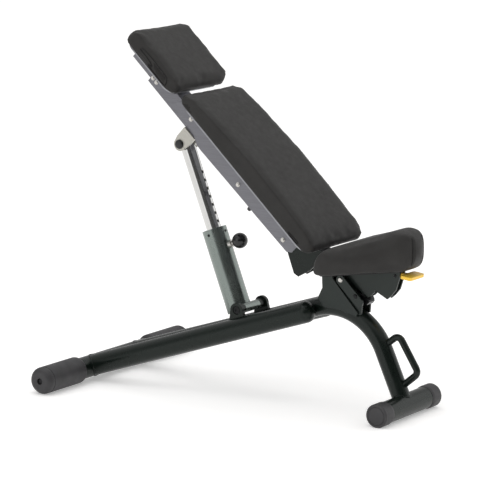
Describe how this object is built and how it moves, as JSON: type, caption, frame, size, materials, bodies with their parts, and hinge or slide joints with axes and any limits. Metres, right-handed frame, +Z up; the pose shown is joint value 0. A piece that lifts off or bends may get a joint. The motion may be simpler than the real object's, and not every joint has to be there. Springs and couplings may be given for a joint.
{
  "type": "adjustable weight bench",
  "caption": "Incline training bench: reclining padded backrest with head pad on a telescopic pinned column, tilting saddle seat, wishbone tube base, rear rollers and a front carry handle.",
  "frame": {"origin": "on the floor, midway between the rearmost and the foremost point, in the plane of symmetry", "axes": "+X from the backrest towards the seat nose, +Z up, +Y to the left of a person who sits on the bench and faces the seat nose"},
  "size_m": [1.062, 0.69, 1.0136],
  "materials": {
    "frame": "gloss",
    "bracket": "satin",
    "silver_paint": "satin",
    "tray": "satin",
    "cream_paint": "satin",
    "chrome_post": "polished",
    "bright_steel": "satin",
    "black_steel": "satin",
    "rubber": "matte",
    "upholstery": "matte",
    "board": "matte",
    "nylon": "matte",
    "knob_plastic": "gloss",
    "lever_paint": "gloss"
  },
  "bodies": {
    "base": {"rear_crossbar": "frame", "base_tube_left": "frame", "base_tube_right": "frame", "base_tube_plugs": "frame", "front_leg": "frame", "front_crossbar": "frame", "front_cap_left": "rubber", "front_cap_right": "rubber", "carry_handle": "frame", "gusset_left": "bracket", "gusset_right": "bracket", "gusset_web": "bracket", "seat_bracket": "bracket", "pivot_arm_left": "bracket", "pivot_arm_right": "bracket", "pivot_ear_left": "frame", "pivot_ear_right": "frame", "pivot_bolts": "black_steel", "back_hinge_pin": "bright_steel", "seat_hinge_pin": "bright_steel", "pawl_bolt": "black_steel", "roller_axles": "bright_steel", "roller_screws": "black_steel"},
    "left_roller": {"roller_left": "rubber", "roller_bushes_left": "nylon"},
    "right_roller": {"roller_right": "rubber", "roller_bushes_right": "nylon"},
    "backrest": {"back_pad": "upholstery", "head_pad": "upholstery", "back_tray": "tray", "head_tray": "tray", "rail_left": "silver_paint", "rail_right": "silver_paint", "cross_members": "silver_paint", "spine": "silver_paint", "head_support": "silver_paint", "head_bracket": "silver_paint", "clevis": "cream_paint", "clevis_pin": "bright_steel", "clevis_pin_caps": "nylon", "hinge_bracket": "frame", "hinge_sleeve": "frame", "back_bolts": "bright_steel", "rest_stops": "rubber"},
    "post": {"post_tube": "chrome_post", "post_eye": "chrome_post"},
    "column": {"column_tube": "frame", "column_bush": "nylon", "column_sleeve": "frame", "set_screws": "bright_steel", "pin_housing": "bright_steel"},
    "locking_pin": {"pull_pin": "bright_steel", "pin_knob": "knob_plastic"},
    "seat": {"seat_pad": "upholstery", "seat_board": "board", "seat_sectors": "bracket", "seat_sleeve": "bright_steel", "lever_pin": "black_steel"},
    "seat_lever": {"release_lever": "lever_paint"},
    "pawl": {"seat_pawl": "black_steel"}
  },
  "joints": [
    {"name": "roller_left_spin", "type": "hinge", "parent": "base", "child": "left_roller", "pos_m": [-0.493, 0.2575, 0.038], "axis": [0, 1, 0], "continuous": true},
    {"name": "roller_right_spin", "type": "hinge", "parent": "base", "child": "right_roller", "pos_m": [-0.493, -0.2575, 0.038], "axis": [0, 1, 0], "continuous": true},
    {"name": "backrest_tilt", "type": "hinge", "parent": "base", "child": "backrest", "pos_m": [0.245, 0, 0.408], "axis": [0, 1, 0], "range_deg": [-43.5, 0]},
    {"name": "post_tilt", "type": "hinge", "parent": "backrest", "child": "post", "pos_m": [-0.23004, 0, 0.68896], "axis": [0, 1, 0], "range_deg": [-6, 0]},
    {"name": "column_slide", "type": "slide", "parent": "post", "child": "column", "axis": [-0.3616, 0, 0.9323], "range_m": [0, 0.22]},
    {"name": "locking_pin_pull", "type": "slide", "parent": "column", "child": "locking_pin", "axis": [0.9323, 0, 0.3616], "range_m": [0, 0.012], "stiffness_N_per_m": 2500},
    {"name": "seat_tilt", "type": "hinge", "parent": "base", "child": "seat", "pos_m": [0.294, 0, 0.361], "axis": [0, -1, 0], "range_deg": [0, 6]},
    {"name": "lever_pull", "type": "hinge", "parent": "seat", "child": "seat_lever", "pos_m": [0.455, 0, 0.387], "axis": [0, -1, 0], "range_deg": [0, 6], "stiffness_Nm_per_rad": 2, "springref_deg": -5.73},
    {"name": "pawl_release", "type": "hinge", "parent": "base", "child": "pawl", "pos_m": [0.342, 0, 0.321], "axis": [0, 1, 0], "range_deg": [0, 12], "stiffness_Nm_per_rad": 2, "springref_deg": -5.73}
  ],
  "couplings": [
    {"joint": "post_tilt", "follows": "backrest_tilt", "ratio": 0.135},
    {"joint": "column_slide", "follows": "backrest_tilt", "m_per_rad": -0.289},
    {"joint": "pawl_release", "follows": "lever_pull", "ratio": 2}
  ]
}
